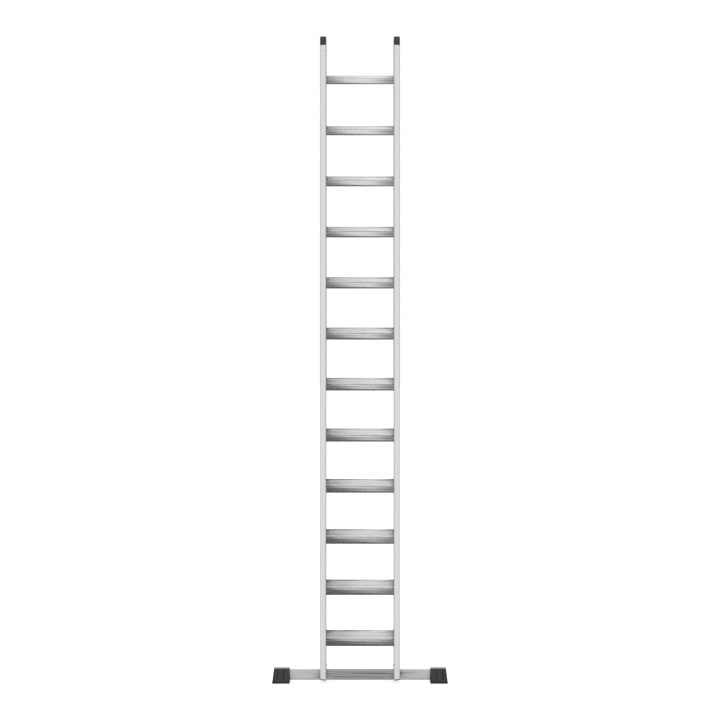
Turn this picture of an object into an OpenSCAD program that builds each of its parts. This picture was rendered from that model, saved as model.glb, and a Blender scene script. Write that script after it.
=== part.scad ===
// Leaning ladder with twelve deep treads, two channel stiles and a wide stabiliser bar.
// Frame: millimetres, +Z up along the stiles, -Y towards the climber, ground at Z = 0.
// The origin is on the ground, midway between the two feet.

/* [Ladder] */
// Number of treads
step_count = 12; // [3:1:12]
// Height from one tread to the next
pitch = 280; // [250:5:300]
// Clear width between the stiles
clear_w = 372; // [300:1:450]
// Height of the lowest tread's back edge above the ground
first_h = 278.8; // [250:0.2:300]
// Length of stile above the top tread
top_reach = 144; // [120:1:300]
// Height of the end caps above the stiles
cap_h = 48; // [30:1:60]

/* [Stiles] */
// Depth of the stile, front to back
stile_depth = 83; // [75:1:100]
// Width of the stile, seen from the front
stile_w = 33; // [28:1:40]
// Thickness of the web that the treads join
web_t = 2.4; // [2:0.1:3.5]
// Thickness of the front and back flanges
flange_t = 2.4; // [2:0.1:3.5]
// Radius of the edge between web and flange
stile_edge_r = 4.5; // [3.5:0.5:6]
// Radius of the round bead along each flange's outer edge
lip_r = 2.5; // [2:0.1:3]

/* [Treads] */
// Slope of the tread, which lies level when the ladder leans
tread_tilt = 25; // [20:1:28]
// Depth of the tread, front to back
tread_depth = 81.8; // [78:0.2:82]
// Thickness of the tread plate
plate_t = 3; // [2.6:0.1:4]
// Thickness of the front and back walls of the tread
tread_wall = 2.2; // [1.8:0.1:3]
// Radius of the rounded nose
nose_r = 5; // [4:0.5:6]
// Radius of the front wall, which bows forward a little
front_r = 120; // [100:5:200]
// Height of the whole tread, from its back edge to the bottom of the nose
tread_h = 69.2; // [66:0.2:74]
// Height of the back wall
back_wall_h = 26; // [18:1:30]
// Height of the grip ribs
rib_h = 0.8; // [0.6:0.1:1.5]
// Distance from rib to rib
rib_pitch = 3.5; // [3:0.5:5]

/* [Tread tubes] */
// Outer radius of the two tubes under each tread
tube_r = 10; // [8:0.5:11]
// Wall of the tubes
tube_wall = 1.6; // [1.4:0.1:2.2]
// Radius of the flare that locks a tube behind the web
flare_r = 13; // [12:0.5:15]

/* [Stabiliser] */
// Length of the stabiliser bar
bar_l = 930; // [800:5:1200]
// Height of the bar's section
bar_h = 55; // [40:1:60]
// Depth of the bar's section
bar_d = 23; // [20:1:30]
// Wall of the bar
bar_wall = 2; // [1.6:0.1:3]
// Height of the bar's underside above the ground
bar_z = 15; // [15:1:20]
// Height of the feet
foot_h = 80; // [78:0.5:90]
// Thickness of the rubber soles
sole_t = 11; // [8:1:12]

/* [Hidden] */
$fn = 48;
cut = 1;
gap = 0.15;
snug = 0.05;
loose = 0.2;
x0 = clear_w / 2;
x1 = x0 + stile_w;
half_d = stile_depth / 2;

// Ends of the stiles: the web side reaches a little further than the open side.
top_out = first_h + pitch * (step_count - 1) + top_reach;
top_in = top_out + 2.5;
bottom_out = 31;
bottom_in = 27;
rim_t = 6.5;
cap_top = top_out + cap_h;
cap_edge_r = 7;

// Tread section: u runs forward down the slope, w stands square to it.
back_y = tread_depth / 2;
nose_y = -tread_depth / 2;
nose_tip = 5;
nose_c_y = nose_y + front_r - (front_r - nose_r) * cos(nose_tip);
nose_c_z = ((nose_c_y - back_y) * sin(tread_tilt) - nose_r) / cos(tread_tilt);
nose_u = (back_y - nose_c_y) * cos(tread_tilt) - nose_c_z * sin(tread_tilt);
front_c = [nose_y + front_r, nose_c_z - (front_r - nose_r) * sin(nose_tip)];
back_pad = [24.5, 52.5];
front_pad = [60.5, 78];
groove_d = 2.5;
groove_slope = 1.5;
band_d = 0.9;
bead_u = 3;
rib_slope = 0.4;
lip_bead_r = 2;
tube_u = [26, 65];
tube_sink = 0.6;
tube_w = -(tube_r + plate_t - tube_sink);
flare_t = 3;

// Rivets, bolts and screws
rivet_r = 2.4;
rivet_head_r = 6;
rivet_head_h = 2.6;
tail_r = 3.8;
tail_h = 3;
tongue_wall = 3;
tongue_l = 64;
tongue_in = 5;
cap_rivet_z = [top_out - 19, top_out - 42];
plug_top = 104;
plug_rivet_y = 24;
plug_rivet_z = 88;
bolt_x = x0 + stile_w / 2 + 0.5;
bolt_z = bar_z + bar_h / 2;
bolt_r = 4;
bolt_head_r = 9;
bolt_head_h = 4;
bolt_l = 75;
sleeve_r = 5.5;
sleeve_l = 31;
sleeve_floor = 3;
sleeve_rim_t = 2.5;
plug_half_d = half_d - flange_t - gap;
bar_low_r = 8;
bar_high_r = 3;

// Feet: the inner and outer x at the top and at the ground, and the kink of the inner side as [x, z]
foot_top = [bar_l / 2 - 76.5, bar_l / 2 + 9.6];
foot_kink = [bar_l / 2 - 80.9, 28];
foot_low = [bar_l / 2 - 77.2, bar_l / 2 + 18.2];
foot_mid = (foot_top[0] + foot_top[1]) / 2;
foot_top_half = 13.5;
foot_low_half = 30;
foot_groove_w = 4.5;
foot_groove_low_d = 6;
foot_groove_top_d = 2;
foot_groove_at = [-10.5, 22.5];
boss_h = 6;
boss_in = 9;
sole_groove_w = 3;
sole_groove_d = 2.5;
sole_groove_pitch = 12;
screw_z = 44;
screw_r = 2;
screw_l = 8;
screw_head_r = 4.4;
screw_head_h = 2.6;
screw_seat_y = 15.4;

function two(k) = str(k < 10 ? "0" : "", k);
step_names = [for (k = [1:step_count]) str("step_", two(k))];

// A point of the tread section, from slope coordinates to [y, z]
function tread_pt(u, w) = [
    back_y - u * cos(tread_tilt) - w * sin(tread_tilt),
    -u * sin(tread_tilt) + w * cos(tread_tilt)
];

// The crests and valleys of one ribbed pad
function ribs(pad) = [
    for (i = [0:round((pad[1] - pad[0]) / rib_pitch) - 1])
    let (a = pad[0] + i * rib_pitch, b = a + rib_pitch)
    each [[a, 0], [a + rib_pitch / 2, 0], [a + rib_pitch / 2 + rib_slope, -rib_h], [b - rib_slope, -rib_h]]
];

// Height of the back edge of tread k
function step_z(k) = first_h + pitch * (k - 1);

// Height of the stile's slanted lower and upper ends at x
function bottom_z(x) = bottom_in + (bottom_out - bottom_in) * (x - x0) / stile_w;
function top_z(x) = top_in + (top_out - top_in) * (x - x0) / stile_w;

// Half depth of a foot at height z
function foot_half(z) = foot_low_half + (foot_top_half - foot_low_half) * z / foot_h;

// Extrudes a [y, z] section along x, from xa to xb
module along_x(xa, xb) {
    translate([xa, 0, 0])
        rotate([90, 0, 90])
            linear_extrude(xb - xa)
                children();
}

// Extrudes an [x, z] section along y, centred on y = 0
module along_y(depth) {
    translate([0, depth / 2, 0])
        rotate([90, 0, 0])
            linear_extrude(depth)
                children();
}

// Draws the right-hand piece, or its mirror image on the left
module side(right) {
    if (right) children();
    else mirror([1, 0, 0]) children();
}

// A round head standing on z = 0
module dome(r, h) {
    big = (r * r + h * h) / (2 * h);
    intersection() {
        translate([0, 0, h - big]) sphere(big, $fn = 64);
        cylinder(r = r, h = h);
    }
}

// Outline of the stile seen from above, web at the inner side
module stile_outline() {
    translate([x0 + stile_edge_r, -half_d])
        square([stile_w - stile_edge_r - lip_r, stile_depth]);
    translate([x0, -half_d + stile_edge_r])
        square([stile_edge_r + cut, stile_depth - 2 * stile_edge_r]);
    translate([x1 - lip_r - cut, -half_d + lip_r])
        square([lip_r + cut, stile_depth - 2 * lip_r]);
    for (s = [-1, 1]) {
        translate([x0 + stile_edge_r, s * (half_d - stile_edge_r)]) circle(stile_edge_r);
        translate([x1 - lip_r, s * (half_d - lip_r)]) circle(lip_r);
    }
}

// Section of the stile: a channel that opens outwards, with a bead along each flange
module stile_section() {
    difference() {
        stile_outline();
        translate([x0 + web_t, -half_d + flange_t])
            square([stile_w, stile_depth - 2 * flange_t]);
    }
    for (s = [-1, 1])
        translate([x1 - lip_r, s * (half_d - lip_r)]) circle(lip_r);
}

// Holes through the web for the tread's two tubes
module tube_holes(z) {
    for (u = tube_u)
        translate([x0 - cut, tread_pt(u, tube_w)[0], z + tread_pt(u, tube_w)[1]])
            rotate([0, 90, 0])
                cylinder(r = tube_r + snug, h = web_t + 2 * cut);
}

// One hole along x through the web
module web_hole(y, z, r) {
    translate([x0 - cut, y, z])
        rotate([0, 90, 0])
            cylinder(r = r, h = web_t + tongue_wall + 2 * cut);
}

// Holes for the bar's bolt: its shank at the back, its sleeve nut sunk into the front of the plug
module bolt_holes() {
    translate([bolt_x, 0, bolt_z])
        rotate([90, 0, 0]) {
            translate([0, 0, -stile_depth]) cylinder(r = bolt_r + loose, h = stile_depth + cut);
            cylinder(r = sleeve_r + loose, h = plug_half_d + gap / 2);
            translate([0, 0, plug_half_d - sleeve_rim_t])
                cylinder(r = bolt_head_r + loose, h = sleeve_rim_t + gap / 2);
        }
}

// Room for the stabiliser bar to pass through
module bar_room(extra) {
    translate([x0 - cut, -bar_d / 2 - extra, 0])
        cube([stile_w + 2 * cut, bar_d + 2 * extra, bar_z + bar_h + extra]);
}

module stile() {
    color("#d2d4d5")
    difference() {
        intersection() {
            translate([0, 0, bottom_in - rim_t])
                linear_extrude(cap_top)
                    stile_section();
            along_y(2 * stile_depth)
                polygon([
                    [x0 - cut, bottom_z(x0 - cut)],
                    [x1 + cut, bottom_z(x1 + cut)],
                    [x1 + cut, top_z(x1 + cut)],
                    [x0 - cut, top_z(x0 - cut)]
                ]);
        }
        for (k = [1:step_count]) tube_holes(step_z(k));
        for (z = cap_rivet_z) web_hole(0, z, rivet_r);
        for (s = [-1, 1]) web_hole(s * plug_rivet_y, plug_rivet_z, rivet_r);
        bar_room(gap);
        bolt_holes();
    }
}

// Section of the front: the round nose, the bowed wall and the bead along its lower edge
module front_section() {
    bead_z = -tread_h + lip_bead_r;
    bead_rise = front_c[1] - bead_z;
    bead_y = front_c[0] - sqrt(pow(front_r - lip_bead_r, 2) - bead_rise * bead_rise);
    intersection() {
        translate([nose_c_y, nose_c_z])
            difference() {
                circle(nose_r);
                circle(nose_r - tread_wall);
            }
        translate([nose_c_y, nose_c_z])
            polygon([
                [0, 0],
                [-nose_r / 2, 2 * nose_r],
                [-2 * nose_r, 2 * nose_r],
                [-2 * nose_r, 0]
            ]);
    }
    intersection() {
        translate(front_c)
            difference() {
                circle(front_r, $fn = 360);
                circle(front_r - tread_wall, $fn = 360);
            }
        translate([nose_y - cut, bead_z])
            square([2 * nose_r, nose_c_z + nose_r * sin(nose_tip) - bead_z]);
    }
    translate([bead_y, bead_z]) circle(lip_bead_r);
}

// Section of a tread: ribbed plate, rounded nose, front and back walls, two tubes
module tread_section() {
    top_line = concat(
        [[0, 0], [bead_u, 0], [bead_u + rib_slope, -band_d], [back_pad[0] - rib_slope, -band_d]],
        ribs(back_pad),
        [[back_pad[1] + rib_slope, -groove_d], [front_pad[0] - rib_slope, -groove_d]],
        ribs(front_pad),
        [[front_pad[1], 0], [nose_u, 0]]
    );
    under_line = [
        [nose_u, -plate_t],
        [front_pad[0] + groove_slope, -plate_t],
        [front_pad[0], -plate_t - groove_d + rib_h],
        [back_pad[1], -plate_t - groove_d + rib_h],
        [back_pad[1] - groove_slope, -plate_t],
        [plate_t * tan(tread_tilt), -plate_t]
    ];
    polygon([for (p = concat(top_line, under_line)) tread_pt(p[0], p[1])]);
    front_section();
    back_in = back_y - tread_wall;
    polygon([
        [back_y, -plate_t / 2],
        [back_y, -back_wall_h + lip_bead_r],
        [back_in, -back_wall_h + lip_bead_r],
        [back_in, -plate_t / 2 - tread_wall * tan(tread_tilt)]
    ]);
    translate([back_y - lip_bead_r, -back_wall_h + lip_bead_r]) circle(lip_bead_r);
    for (u = tube_u) translate(tread_pt(u, tube_w)) circle(tube_r);
}

// Rolled rim of a tube on the outer face of the web
module flare(u) {
    inner = tube_r - cut;
    translate([x0 + web_t, tread_pt(u, tube_w)[0], tread_pt(u, tube_w)[1]])
        rotate([0, 90, 0])
            rotate_extrude() {
                translate([inner, 0]) square([flare_r - inner - flare_t / 2, flare_t]);
                translate([flare_r - flare_t / 2, flare_t / 2]) circle(flare_t / 2);
            }
}

// One tread, hung between the stiles by its two tubes
module step(k) {
    color("#c9cbcc")
    translate([0, 0, step_z(k)])
        difference() {
            union() {
                along_x(-x0, x0) tread_section();
                for (u = tube_u) {
                    along_x(-x0 - web_t, x0 + web_t) translate(tread_pt(u, tube_w)) circle(tube_r);
                    for (right = [true, false]) side(right) flare(u);
                }
            }
            for (u = tube_u)
                along_x(-x1, x1) translate(tread_pt(u, tube_w)) circle(tube_r - tube_wall);
        }
}

// End cap of a stile: a closed head over a hollow tongue inside the channel
module top_cap() {
    tongue_x = x0 + web_t + gap;
    tongue_y = half_d - flange_t - gap;
    color("#3b3f41")
    difference() {
        union() {
            intersection() {
                translate([0, 0, top_out - cut]) linear_extrude(cap_h + 2 * cut) stile_outline();
                along_y(2 * stile_depth) {
                    polygon([
                        [x0 - cut, top_z(x0 - cut)],
                        [x1 + cut, top_z(x1 + cut)],
                        [x1 + cut, cap_top - cap_edge_r],
                        [x0 - cut, cap_top - cap_edge_r]
                    ]);
                    translate([x0 - cut, cap_top - cap_edge_r - cut])
                        square([stile_w - cap_edge_r + cut, cap_edge_r + cut]);
                    translate([x1 - cap_edge_r, cap_top - cap_edge_r]) circle(cap_edge_r);
                }
            }
            translate([tongue_x, -tongue_y, top_out - tongue_l])
                cube([stile_w - web_t - 2 * lip_r - gap, 2 * tongue_y, tongue_l + tongue_in]);
        }
        translate([tongue_x + tongue_wall, -tongue_y + tongue_wall, top_out - tongue_l - cut])
            cube([
                x1 - tongue_x - 2 * tongue_wall,
                2 * (tongue_y - tongue_wall),
                tongue_l + cap_h - tongue_wall
            ]);
        for (z = cap_rivet_z) web_hole(0, z, rivet_r);
    }
}

// Plug of a stile's lower end: a saddle over the bar with a rim under the stile
module bottom_plug() {
    body_x = x0 + web_t + gap;
    color("#55595b")
    difference() {
        union() {
            intersection() {
                linear_extrude(plug_top) stile_outline();
                along_y(2 * stile_depth)
                    polygon([
                        [x0 - cut, bottom_z(x0 - cut) - rim_t],
                        [x1 + cut, bottom_z(x1 + cut) - rim_t],
                        [x1 + cut, bottom_z(x1 + cut)],
                        [x0 - cut, bottom_z(x0 - cut)]
                    ]);
            }
            translate([body_x, -plug_half_d, bottom_in])
                cube([stile_w - web_t - 2 * lip_r - gap, 2 * plug_half_d, plug_top - bottom_in]);
        }
        translate([body_x + tongue_wall, -plug_half_d + tongue_wall, bar_z + bar_h + tongue_wall])
            cube([stile_w, 2 * (plug_half_d - tongue_wall), plug_top]);
        for (s = [-1, 1]) web_hole(s * plug_rivet_y, plug_rivet_z, rivet_r);
        bar_room(gap);
        bolt_holes();
    }
}

// Outline of the bar's section, with small upper and larger lower corners
module bar_outline(inset) {
    low_r = bar_low_r - inset;
    high_r = bar_high_r - inset;
    half = bar_d / 2 - inset;
    lo = bar_z + inset;
    hi = bar_z + bar_h - inset;
    translate([-half, lo + low_r]) square([2 * half, hi - lo - low_r - high_r]);
    translate([-half + low_r, lo]) square([2 * (half - low_r), low_r + cut]);
    translate([-half + high_r, hi - high_r - cut]) square([2 * (half - high_r), high_r + cut]);
    for (s = [-1, 1]) {
        translate([s * (half - low_r), lo + low_r]) circle(low_r);
        translate([s * (half - high_r), hi - high_r]) circle(high_r);
    }
}

// Wide bar that passes through both stiles and carries the feet
module stabiliser_bar() {
    color("#9a9c9e")
    difference() {
        along_x(-bar_l / 2, bar_l / 2) bar_outline(0);
        along_x(-bar_l, bar_l) bar_outline(bar_wall);
        for (right = [true, false])
            side(right) {
                bolt_holes();
                screw_hole();
            }
    }
}

// Hole for the screw that holds a foot, from the back into the bar
module screw_hole() {
    translate([foot_mid, 0, screw_z])
        rotate([-90, 0, 0])
            cylinder(r = screw_r, h = stile_depth);
}

// The whole tapered body of a foot, sole included
module foot_body() {
    intersection() {
        along_y(stile_depth)
            polygon([
                [foot_low[0], 0],
                [foot_low[1], 0],
                [foot_top[1], foot_h],
                [foot_top[0], foot_h],
                foot_kink
            ]);
        along_x(foot_kink[0] - cut, foot_low[1] + cut)
            polygon([
                [-foot_low_half, 0],
                [foot_low_half, 0],
                [foot_top_half, foot_h],
                [-foot_top_half, foot_h]
            ]);
    }
}

// Boss of the sole, or the recess for it when it is grown by extra
module sole_boss(extra) {
    translate([foot_low[0] + boss_in - extra, -foot_low_half + boss_in - extra, sole_t - cut])
        cube([
            foot_low[1] - foot_low[0] - 2 * (boss_in - extra),
            2 * (foot_low_half - boss_in + extra),
            boss_h + cut + extra
        ]);
}

// Moulded foot pushed over the end of the bar
module foot() {
    groove_lo = sole_t + 5;
    groove_hi = foot_h - 6;
    color("#3a3e40")
    difference() {
        foot_body();
        translate([0, -stile_depth, -cut]) cube([bar_l, 2 * stile_depth, sole_t + cut]);
        sole_boss(gap);
        along_x(foot_kink[0] - 2 * cut, bar_l / 2 + gap) bar_outline(-gap);
        for (at = foot_groove_at, s = [-1, 1])
            along_x(foot_mid + at - foot_groove_w / 2, foot_mid + at + foot_groove_w / 2)
                polygon([
                    [s * (foot_half(groove_lo) - foot_groove_low_d), groove_lo],
                    [s * (foot_half(groove_lo) + cut), groove_lo],
                    [s * (foot_half(groove_hi) + cut), groove_hi],
                    [s * (foot_half(groove_hi) - foot_groove_top_d), groove_hi]
                ]);
        screw_hole();
        translate([foot_mid, screw_seat_y, screw_z])
            rotate([-90, 0, 0])
                cylinder(r = screw_head_r + loose, h = stile_depth);
    }
}

// Rubber sole, grooved underneath and keyed into the foot
module sole() {
    groove_x = (foot_low[0] + foot_low[1] - sole_groove_w) / 2;
    color("#232627")
    difference() {
        union() {
            intersection() {
                foot_body();
                translate([0, -stile_depth, 0]) cube([bar_l, 2 * stile_depth, sole_t]);
            }
            sole_boss(0);
        }
        for (i = [-3:3])
            translate([groove_x + i * sole_groove_pitch, -stile_depth, -cut])
                cube([sole_groove_w, 2 * stile_depth, sole_groove_d + cut]);
        along_x(foot_kink[0] - 2 * cut, bar_l / 2 + gap) bar_outline(-gap);
    }
}

// Blind rivet along +x, its head on the inner face of the web
module rivet(y, z) {
    translate([x0, y, z])
        rotate([0, 90, 0]) {
            mirror([0, 0, 1]) dome(rivet_head_r, rivet_head_h);
            cylinder(r = rivet_r, h = web_t + gap + tongue_wall + tail_h);
            translate([0, 0, web_t + gap + tongue_wall]) cylinder(r = tail_r, h = tail_h);
        }
}

module cap_rivets() {
    color("#b4b6b8")
    for (right = [true, false], z = cap_rivet_z) side(right) rivet(0, z);
}

module plug_rivets() {
    color("#b4b6b8")
    for (right = [true, false], s = [-1, 1]) side(right) rivet(s * plug_rivet_y, plug_rivet_z);
}

// Bolts that clamp bar, plug and stile, each with its head at the back
module bar_bolts() {
    color("#c4c6c8")
    for (right = [true, false])
        side(right)
            translate([bolt_x, half_d, bolt_z]) {
                rotate([-90, 0, 0]) dome(bolt_head_r, bolt_head_h);
                rotate([90, 0, 0]) cylinder(r = bolt_r, h = bolt_l);
            }
}

// Sleeve nuts that take the bolts, hidden behind the front flange of the stile
module bar_sleeve_nuts() {
    color("#c4c6c8")
    for (right = [true, false])
        side(right)
            translate([bolt_x, -plug_half_d, bolt_z])
                rotate([-90, 0, 0])
                    difference() {
                        union() {
                            cylinder(r = bolt_head_r, h = sleeve_rim_t);
                            cylinder(r = sleeve_r, h = sleeve_l);
                        }
                        translate([0, 0, sleeve_floor]) cylinder(r = bolt_r + snug, h = sleeve_l);
                    }
}

module foot_screws() {
    color("#a4a6a8")
    for (right = [true, false])
        side(right)
            translate([foot_mid, screw_seat_y, screw_z]) {
                rotate([-90, 0, 0]) dome(screw_head_r, screw_head_h);
                rotate([90, 0, 0]) cylinder(r = screw_r, h = screw_l);
            }
}

side(false) stile();  // stile_left
side(true) stile();  // stile_right
for (k = [1:step_count]) step(k);
side(false) top_cap();  // top_cap_left
side(true) top_cap();  // top_cap_right
side(false) bottom_plug();  // bottom_plug_left
side(true) bottom_plug();  // bottom_plug_right
stabiliser_bar();
side(false) foot();  // foot_left
side(true) foot();  // foot_right
side(false) sole();  // sole_left
side(true) sole();  // sole_right
cap_rivets();
plug_rivets();
bar_bolts();
bar_sleeve_nuts();
foot_screws();
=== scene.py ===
"""Looks of the leaning ladder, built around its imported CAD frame. Metres, +Z up, the climber at -Y."""
import math

import bpy
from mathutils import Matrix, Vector


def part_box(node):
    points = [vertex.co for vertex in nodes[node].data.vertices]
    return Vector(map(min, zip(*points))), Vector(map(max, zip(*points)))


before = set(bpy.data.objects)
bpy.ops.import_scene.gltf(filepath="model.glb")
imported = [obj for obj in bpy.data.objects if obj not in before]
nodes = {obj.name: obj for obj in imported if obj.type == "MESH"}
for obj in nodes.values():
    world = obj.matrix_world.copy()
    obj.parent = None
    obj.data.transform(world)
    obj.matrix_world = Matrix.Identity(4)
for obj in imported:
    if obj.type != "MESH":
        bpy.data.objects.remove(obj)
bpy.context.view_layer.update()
cad_tread_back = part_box("step_01")[1][1]
cad_tread_depth = cad_tread_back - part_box("step_01")[0][1]

MM = 0.001

# Camera: level, square to the ladder, a 50 mm lens on a 36 mm sensor.
CAMERA_DISTANCE = 5.5195
CAMERA_HEIGHT = 1.778
LENS_MM = 50.0
SENSOR_MM = 36.0

# Stage: a glowing floor, a white world and a soft sun.
# A fade goes between two values of the direction's Z or |X|, from one brightness to another.
FLOOR_REACH = 60.0
FLOOR_GLOW = 0.5
WORLD_LIGHT = 1.03
HORIZON_FADE = (-0.18, 0.02, 0.02, 0.97)
OVERHEAD_FADE = (0.8, 1.0, 1.0, 0.35)
SIDE_FADE = (0.3, 0.95, 1.0, 0.15)
SUN_STRENGTH = 0.35
SUN_ANGLE = 60.0
SUN_DIRECTION = (0.0, 0.5, -1.0)

# Tones of the profiles' faces: their finish, and painted shade and painted highlights laid into their colours
METAL_EDGE_TINT = 0.75
STILE_SPECULAR = 0.15
# Painted shade: the stiles' sideways faces and outer beads are darkened in the colour
STILE_SIDE_PAINTED_SHADE = (0.3, 0.9, 1.0, 0.36)
STILE_BEAD = 3.4 * MM
STILE_BEAD_PAINTED_SHADE = 0.08
TREAD_METALLIC = 0.9
# Painted shade: the tread's front wall is darker in colour than its upward faces
TREAD_WALL_PAINTED_SHADE = 0.88
PAD_METALLIC = 0.1
PAD_EXTRA_ROUGHNESS = 0.25
# Painted shade on the bar: darker between the stiles and along its lower edge
BAR_FADE = 60 * MM
BAR_MIDDLE_PAINTED_SHADE = 0.68
BAR_UNDERSIDE = 5 * MM
BAR_UNDER_FADE = 3 * MM
BAR_UNDER_PAINTED_SHADE = 0.4
# Each stop is a share of the tread's depth from its back edge, a tone there (painted shade and painted
# highlight), and 1 where it is a dull pad.
TREAD_PAINTED_TONES_AND_PADS = [
    (0.0, 0.95, 0.0), (0.3, 0.95, 0.0),
    (0.33, 1.0, 1.0), (0.42, 0.86, 1.0), (0.56, 0.8, 1.0),
    (0.60, 0.76, 1.0), (0.64, 0.76, 1.0),
    (0.68, 1.0, 1.0), (0.78, 0.92, 1.0),
    (0.82, 0.8, 0.0), (0.93, 0.6, 0.0), (1.0, 0.5, 0.0),
]

# Grain of the drawn metal: noise scales are in features a metre
DIE_LINES_ACROSS = 1400.0
DIE_LINES_ALONG = 2.5
CLOUD_SCALE = 9.0
SCUFF_SCALE = 55.0
DIE_LINE_SHARE = 0.7
SCUFF_TONE = 1.08
ROUGHNESS_SPREAD = 0.03
GRAIN_BUMP = 0.1
GRAIN_DEPTH = 0.01 * MM

# Grain of the plastics and of the zinc
SPARK_GRAIN_SCALE = 2600.0
SPARK_GRAIN_DEPTH = 0.12 * MM
FLOW_CLOUD_SCALE = 28.0
RUBBED_SCALE = (70.0, 70.0, 40.0)
ZINC_PATCH_SCALE = 420.0
ZINC_PATCH_DEPTH = 0.05 * MM

STEPS = sorted(name for name in nodes if name.startswith("step_"))
STILES = ["stile_left", "stile_right"]
TOP_CAPS = ["top_cap_left", "top_cap_right"]
PLUGS = ["bottom_plug_left", "bottom_plug_right"]
FEET = ["foot_left", "foot_right"]
SOLES = ["sole_left", "sole_right"]
RIVETS = ["cap_rivets", "plug_rivets"]
BOLTS = ["bar_bolts", "bar_sleeve_nuts", "foot_screws"]


# --- Node helpers ---------------------------------------------------------------------------


class Shader:
    """A Principled material and short calls that add the nodes feeding it."""

    def __init__(self, name, metallic, roughness):
        self.material = bpy.data.materials.new(name)
        self.material.use_nodes = True
        self.tree = self.material.node_tree
        self.tree.nodes.clear()
        output = self.tree.nodes.new("ShaderNodeOutputMaterial")
        self.bsdf = self.tree.nodes.new("ShaderNodeBsdfPrincipled")
        self.tree.links.new(self.bsdf.outputs["BSDF"], output.inputs["Surface"])
        self.bsdf.inputs["Metallic"].default_value = metallic
        self.bsdf.inputs["Roughness"].default_value = roughness
        self.coords = self.tree.nodes.new("ShaderNodeTexCoord")

    def link(self, source, target):
        self.tree.links.new(source, target)

    def noise(self, scale, detail=4.0, roughness=0.55):
        """Noise over the object's own metres; scale is a number or one number an axis."""
        stretch = (scale,) * 3 if isinstance(scale, (int, float)) else scale
        mapping = self.tree.nodes.new("ShaderNodeMapping")
        mapping.inputs["Scale"].default_value = stretch
        self.link(self.coords.outputs["Object"], mapping.inputs["Vector"])
        noise = self.tree.nodes.new("ShaderNodeTexNoise")
        noise.inputs["Scale"].default_value = 1.0
        noise.inputs["Detail"].default_value = detail
        noise.inputs["Roughness"].default_value = roughness
        self.link(mapping.outputs["Vector"], noise.inputs["Vector"])
        return noise.outputs["Fac"]

    def remap(self, value, low_in, high_in, low_out, high_out):
        """Value moved from one range to another and kept inside it."""
        node = self.tree.nodes.new("ShaderNodeMapRange")
        for socket, number in zip(
            ("From Min", "From Max", "To Min", "To Max"), (low_in, high_in, low_out, high_out)
        ):
            node.inputs[socket].default_value = number
        self.link(value, node.inputs["Value"])
        return node.outputs["Result"]

    def math(self, operation, first, second=0.0):
        """One Math node; each operand is a number or a socket."""
        node = self.tree.nodes.new("ShaderNodeMath")
        node.operation = operation
        for socket, item in zip(node.inputs, (first, second)):
            if isinstance(item, (int, float)):
                socket.default_value = item
            else:
                self.link(item, socket)
        return node.outputs["Value"]

    def blend(self, first, second, share):
        """A value between two, with the given share of the first."""
        parts = [self.math("MULTIPLY", first, share), self.math("MULTIPLY", second, 1.0 - share)]
        return self.math("ADD", *parts)

    def mix(self, factor, first, second):
        """A colour between two; each is a grey or colour tuple, or a socket."""
        node = self.tree.nodes.new("ShaderNodeMix")
        node.data_type = "RGBA"
        self.link(factor, node.inputs["Factor"])
        for name, item in (("A", first), ("B", second)):
            socket = [s for s in node.inputs if s.name == name and s.type == "RGBA"][0]
            if isinstance(item, tuple):
                socket.default_value = (*item, 1.0)
            else:
                self.link(item, socket)
        return [s for s in node.outputs if s.type == "RGBA"][0]

    def colour(self, value):
        self.link(value, self.bsdf.inputs["Base Color"])

    def rough(self, value):
        self.link(value, self.bsdf.inputs["Roughness"])

    def bump(self, height, strength, distance):
        node = self.tree.nodes.new("ShaderNodeBump")
        node.inputs["Strength"].default_value = strength
        node.inputs["Distance"].default_value = distance
        self.link(height, node.inputs["Height"])
        self.link(node.outputs["Normal"], self.bsdf.inputs["Normal"])

    def position(self, axis):
        split = self.tree.nodes.new("ShaderNodeSeparateXYZ")
        self.link(self.coords.outputs["Object"], split.inputs["Vector"])
        return split.outputs[axis]

    def normal(self, axis):
        geometry = self.tree.nodes.new("ShaderNodeNewGeometry")
        split = self.tree.nodes.new("ShaderNodeSeparateXYZ")
        self.link(geometry.outputs["Normal"], split.inputs["Vector"])
        return split.outputs[axis]


# --- Materials ------------------------------------------------------------------------------


def drawn_metal(name, grain, light, dark, metallic, roughness, shade=None, bump=GRAIN_BUMP):
    """Extruded aluminium: die lines along the profile, cloudy patches and fine scuffs.

    shade, if given, changes the colour and roughness from face to face of the profile; its colour changes are
    painted shade and painted highlights."""
    shader = Shader(name, metallic, roughness)
    along = [DIE_LINES_ACROSS] * 3
    along["XYZ".index(grain)] = DIE_LINES_ALONG
    lines = shader.noise(tuple(along), detail=3.0)
    clouds = shader.noise(CLOUD_SCALE, detail=5.0)
    scuffs = shader.noise(SCUFF_SCALE, detail=9.0, roughness=0.75)
    blend = shader.blend(lines, clouds, DIE_LINE_SHARE)
    tone = shader.mix(shader.remap(blend, 0.35, 0.65, 0.0, 1.0), dark, light)
    worn = shader.remap(scuffs, 0.62, 0.75, 0.0, 0.35)
    colour = shader.mix(worn, tone, tuple(min(1.0, c * SCUFF_TONE) for c in light))
    spread = shader.blend(lines, scuffs, 0.5)
    rough = shader.remap(spread, 0.3, 0.7, roughness - ROUGHNESS_SPREAD, roughness + ROUGHNESS_SPREAD)
    if shade:
        colour, rough = shade(shader, colour, rough)
    shader.colour(colour)
    shader.rough(rough)
    if bump:
        shader.bump(lines, bump, GRAIN_DEPTH)
    shader.bsdf.inputs["Specular Tint"].default_value = (*grey(METAL_EDGE_TINT), 1.0)
    return shader.material


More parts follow.
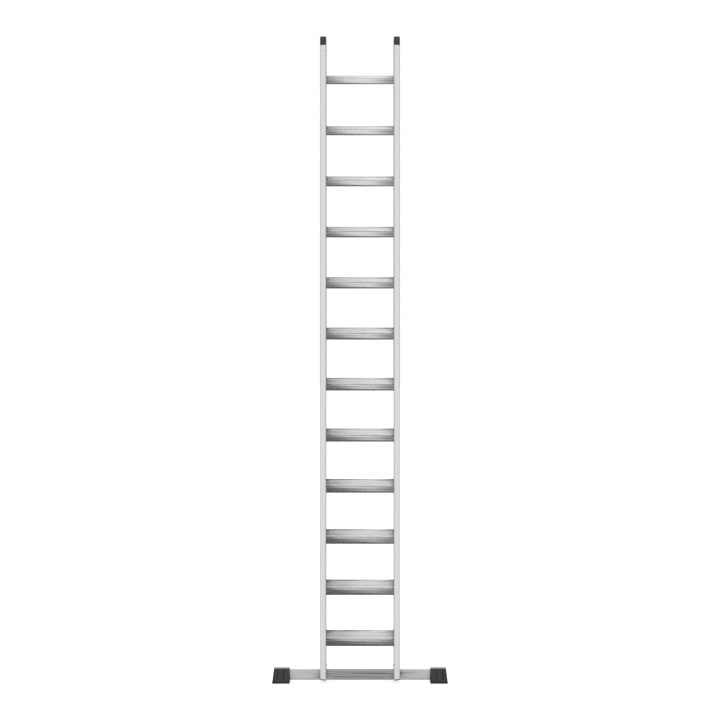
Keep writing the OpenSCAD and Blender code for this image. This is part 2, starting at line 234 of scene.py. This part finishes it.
def stile_painted_shade(shader, colour, rough):
    """Painted shade: faces turned sideways (the webs) and the beads along the outer edges are darkened in the
    colour; the flanges stay bright.
    """
    outer_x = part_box("stile_right")[1][0]
    sideways = shader.math("ABSOLUTE", shader.normal("X"))
    outward = shader.math("ABSOLUTE", shader.position("X"))
    # Painted shade: sideways faces and the outer beads are darkened in the colour
    web_painted_shade = shader.remap(sideways, *STILE_SIDE_PAINTED_SHADE)
    bead_painted_shade = shader.remap(outward, outer_x - STILE_BEAD, outer_x, 1.0, STILE_BEAD_PAINTED_SHADE)
    shader.bsdf.inputs["Specular IOR Level"].default_value = STILE_SPECULAR
    tone = shader.math("MINIMUM", web_painted_shade, bead_painted_shade)
    return shader.mix(tone, (0.0, 0.0, 0.0), colour), rough


def bar_painted_shade(shader, colour, rough):
    """Painted shade: the bar's colour is darkened between the stiles and along its lower edge, where shade
    falls.
    """
    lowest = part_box("stabiliser_bar")[0][2]
    inner_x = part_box("stile_right")[0][0]
    outward = shader.math("ABSOLUTE", shader.position("X"))
    # Painted shade: darker between the stiles and along the lower edge
    middle_painted_shade = shader.remap(outward, inner_x - BAR_FADE, inner_x + BAR_FADE, BAR_MIDDLE_PAINTED_SHADE, 1.0)
    edge = lowest + BAR_UNDERSIDE
    under_painted_shade = shader.remap(shader.position("Z"), edge, edge + BAR_UNDER_FADE, BAR_UNDER_PAINTED_SHADE, 1.0)
    return shader.mix(shader.math("MULTIPLY", middle_painted_shade, under_painted_shade), (0.0, 0.0, 0.0), colour), rough


def tread_pads_and_painted_shade(shader, colour, rough):
    """Smooth shiny strips at the back and front of a tread and dull ribbed pads. Their colour carries painted
    highlights and painted shade: pads brightest at their back, darker at the groove and towards the nose, the
    front wall darker than the upward faces.
    """
    from_back = shader.math("SUBTRACT", cad_tread_back, shader.position("Y"))
    ramp = shader.tree.nodes.new("ShaderNodeValToRGB")
    shader.link(shader.math("DIVIDE", from_back, cad_tread_depth), ramp.inputs["Fac"])
    stops = ramp.color_ramp.elements
    while len(stops) > 1:
        stops.remove(stops[-1])
    for number, (place, tone, dull) in enumerate(TREAD_PAINTED_TONES_AND_PADS):
        stop = stops[0] if number == 0 else stops.new(place)
        stop.position = place
        stop.color = (tone, dull, 0.0, 1.0)
    split = shader.tree.nodes.new("ShaderNodeSeparateColor")
    shader.link(ramp.outputs["Color"], split.inputs["Color"])
    # Painted shade and painted highlights: upward faces take the ramp's tone, the front wall a fixed darker
    # one
    on_top = shader.remap(shader.normal("Z"), 0.3, 0.6, 0.0, 1.0)
    painted_lift = shader.math("MULTIPLY", on_top, shader.math("SUBTRACT", split.outputs["Red"], TREAD_WALL_PAINTED_SHADE))
    tone = shader.math("ADD", painted_lift, TREAD_WALL_PAINTED_SHADE)
    pad = shader.math("MULTIPLY", on_top, split.outputs["Green"])
    shader.link(shader.remap(pad, 0.0, 1.0, TREAD_METALLIC, PAD_METALLIC), shader.bsdf.inputs["Metallic"])
    rough = shader.math("ADD", rough, shader.math("MULTIPLY", pad, PAD_EXTRA_ROUGHNESS))
    return shader.mix(tone, (0.0, 0.0, 0.0), colour), rough


def moulded_plastic(name, light, dark, roughness, dust=0.0, painted_top_light=None):
    """Moulded plastic: fine spark-eroded grain, faint flow clouds and rubbed patches.

    The paler colour given for faces that look up is a painted highlight, standing in for light from above."""
    shader = Shader(name, 0.0, roughness)
    grain = shader.noise(SPARK_GRAIN_SCALE, detail=2.0)
    clouds = shader.noise(FLOW_CLOUD_SCALE, detail=6.0)
    rubbed = shader.noise(RUBBED_SCALE, detail=8.0, roughness=0.7)
    tone = shader.mix(shader.remap(clouds, 0.35, 0.65, 0.0, 1.0), dark, light)
    wear = shader.remap(rubbed, 0.6, 0.78, 0.0, 0.3 + dust)
    colour = shader.mix(wear, tone, tuple(min(1.0, c * 1.8 + 0.02) for c in light))
    if painted_top_light:
        # Painted highlight: faces that look up are paler
        colour = shader.mix(shader.remap(shader.normal("Z"), 0.75, 0.95, 0.0, 1.0), colour, painted_top_light)
    shader.colour(colour)
    shader.rough(shader.remap(grain, 0.3, 0.7, roughness - 0.07, roughness + 0.09))
    shader.bump(grain, 0.35, SPARK_GRAIN_DEPTH)
    return shader.material


def zinc_metal(name, light, dark, roughness):
    """Small turned or pressed fasteners."""
    shader = Shader(name, 1.0, roughness)
    patches = shader.noise(ZINC_PATCH_SCALE, detail=5.0)
    shader.colour(shader.mix(shader.remap(patches, 0.35, 0.65, 0.0, 1.0), dark, light))
    shader.rough(shader.remap(patches, 0.3, 0.7, roughness - 0.08, roughness + 0.1))
    shader.bump(patches, 0.15, ZINC_PATCH_DEPTH)
    return shader.material


def grey(value):
    return (value, value, value)


def dress(names, material):
    """Puts one material on every slot of the named CAD nodes."""
    for name in names:
        mesh = nodes[name].data
        mesh.materials.clear()
        mesh.materials.append(material)
        for face in mesh.polygons:
            face.material_index = 0


def soften(names, width, segments, angle=32.0):
    """Joins the CAD faces at their edges, then rounds those edges."""
    for name in names:
        node = nodes[name]
        weld = node.modifiers.new("weld", "WELD")
        weld.merge_threshold = 0.01 * MM
        bevel = node.modifiers.new("edge", "BEVEL")
        bevel.width = width
        bevel.segments = segments
        bevel.limit_method = "ANGLE"
        bevel.angle_limit = math.radians(angle)
        bevel.use_clamp_overlap = True
        bevel.harden_normals = True
        node.data.shade_smooth()


# --- Stage, light and camera ----------------------------------------------------------------


def make_floor():
    """A flat white floor that glows a little, as an overexposed studio floor does. Reflections skip it."""
    shader = Shader("floor_white", 0.0, 0.9)
    shader.colour(shader.mix(shader.noise(0.8, detail=3.0), grey(0.86), grey(0.9)))
    shader.bsdf.inputs["Emission Color"].default_value = (1.0, 1.0, 1.0, 1.0)
    shader.bsdf.inputs["Emission Strength"].default_value = FLOOR_GLOW
    shader.bsdf.inputs["Specular IOR Level"].default_value = 0.0
    corners = [(-1, -1), (1, -1), (1, 1), (-1, 1)]
    mesh = bpy.data.meshes.new("floor")
    mesh.from_pydata([(x * FLOOR_REACH, y * FLOOR_REACH, 0.0) for x, y in corners], [], [(0, 1, 2, 3)])
    mesh.materials.append(shader.material)
    floor = bpy.data.objects.new("floor", mesh)
    bpy.context.scene.collection.objects.link(floor)
    floor.visible_glossy = False


def make_world():
    """A white room. Reflections see it fade to dark below the horizon and towards the sides."""
    world = bpy.data.worlds.new("studio")
    bpy.context.scene.world = world
    world.use_nodes = True
    tree = world.node_tree
    background = tree.nodes["Background"]
    coords = tree.nodes.new("ShaderNodeTexCoord")
    split = tree.nodes.new("ShaderNodeSeparateXYZ")
    tree.links.new(coords.outputs["Generated"], split.inputs["Vector"])
    side = tree.nodes.new("ShaderNodeMath")
    side.operation = "ABSOLUTE"
    tree.links.new(split.outputs["X"], side.inputs[0])

    def fade(value, start, end, first, last):
        node = tree.nodes.new("ShaderNodeMapRange")
        node.interpolation_type = "SMOOTHSTEP"
        for socket, number in zip(("From Min", "From Max", "To Min", "To Max"), (start, end, first, last)):
            node.inputs[socket].default_value = number
        tree.links.new(value, node.inputs["Value"])
        return node.outputs["Result"]

    down = fade(split.outputs["Z"], *HORIZON_FADE)
    aside = fade(side.outputs["Value"], *SIDE_FADE)
    above = fade(split.outputs["Z"], *OVERHEAD_FADE)
    seen = down
    for share in (aside, above):
        product = tree.nodes.new("ShaderNodeMath")
        product.operation = "MULTIPLY"
        tree.links.new(seen, product.inputs[0])
        tree.links.new(share, product.inputs[1])
        seen = product.outputs["Value"]
    path = tree.nodes.new("ShaderNodeLightPath")
    choose = tree.nodes.new("ShaderNodeMix")
    choose.data_type = "FLOAT"
    choose.inputs["A"].default_value = WORLD_LIGHT
    tree.links.new(path.outputs["Is Glossy Ray"], choose.inputs["Factor"])
    tree.links.new(seen, choose.inputs["B"])
    background.inputs["Color"].default_value = (1.0, 1.0, 1.0, 1.0)
    tree.links.new(choose.outputs["Result"], background.inputs["Strength"])


def make_sun():
    """A wide, weak key light from above and in front, the same at every height."""
    data = bpy.data.lights.new("key", "SUN")
    data.energy = SUN_STRENGTH
    data.angle = math.radians(SUN_ANGLE)
    light = bpy.data.objects.new("key", data)
    bpy.context.scene.collection.objects.link(light)
    light.rotation_euler = Vector(SUN_DIRECTION).to_track_quat("-Z", "Y").to_euler()


def make_camera():
    """The camera stands level on the ladder's centre line, at about eye height."""
    data = bpy.data.cameras.new("camera")
    data.lens = LENS_MM
    data.sensor_width = SENSOR_MM
    data.clip_end = 200.0
    camera = bpy.data.objects.new("camera", data)
    bpy.context.scene.collection.objects.link(camera)
    camera.location = (0.0, -CAMERA_DISTANCE, CAMERA_HEIGHT)
    camera.rotation_euler = (math.radians(90.0), 0.0, 0.0)
    bpy.context.scene.camera = camera


make_camera()
make_world()
make_floor()
make_sun()
bpy.context.scene.view_settings.view_transform = "Standard"

stile_metal = drawn_metal("stile_aluminium", "Z", grey(0.57), grey(0.55), 0.05, 0.5, stile_painted_shade)
tread_metal = drawn_metal(
    "tread_aluminium", "X", grey(0.80), grey(0.78), TREAD_METALLIC, 0.27, tread_pads_and_painted_shade, bump=0.0
)
bar_metal = drawn_metal("bar_aluminium", "X", (0.53, 0.54, 0.55), (0.49, 0.50, 0.51), 0.3, 0.45, bar_painted_shade)
cap_plastic = moulded_plastic("cap_plastic", (0.024, 0.029, 0.031), (0.020, 0.024, 0.026), 0.42)
plug_plastic = moulded_plastic("plug_plastic", (0.13, 0.135, 0.14), (0.10, 0.105, 0.11), 0.6)
foot_plastic = moulded_plastic(
    "foot_plastic", (0.020, 0.025, 0.027), (0.017, 0.021, 0.023), 0.34, painted_top_light=grey(0.36)
)
sole_rubber = moulded_plastic("sole_rubber", (0.018, 0.019, 0.020), (0.013, 0.014, 0.015), 0.85, dust=0.1)

dress(STILES, stile_metal)
dress(STEPS, tread_metal)
dress(["stabiliser_bar"], bar_metal)
dress(TOP_CAPS, cap_plastic)
dress(PLUGS, plug_plastic)
dress(FEET, foot_plastic)
dress(SOLES, sole_rubber)
dress(RIVETS, zinc_metal("rivet_metal", grey(0.66), grey(0.56), 0.35))
dress(BOLTS, zinc_metal("bolt_zinc", grey(0.72), grey(0.6), 0.3))

soften(STILES, 0.3 * MM, 2)
soften(STEPS, 0.18 * MM, 1)
soften(["stabiliser_bar"], 0.3 * MM, 2)
soften(TOP_CAPS + PLUGS, 0.8 * MM, 3)
soften(FEET, 1.4 * MM, 3)
soften(SOLES, 0.6 * MM, 2)
soften(RIVETS + BOLTS, 0.15 * MM, 2)
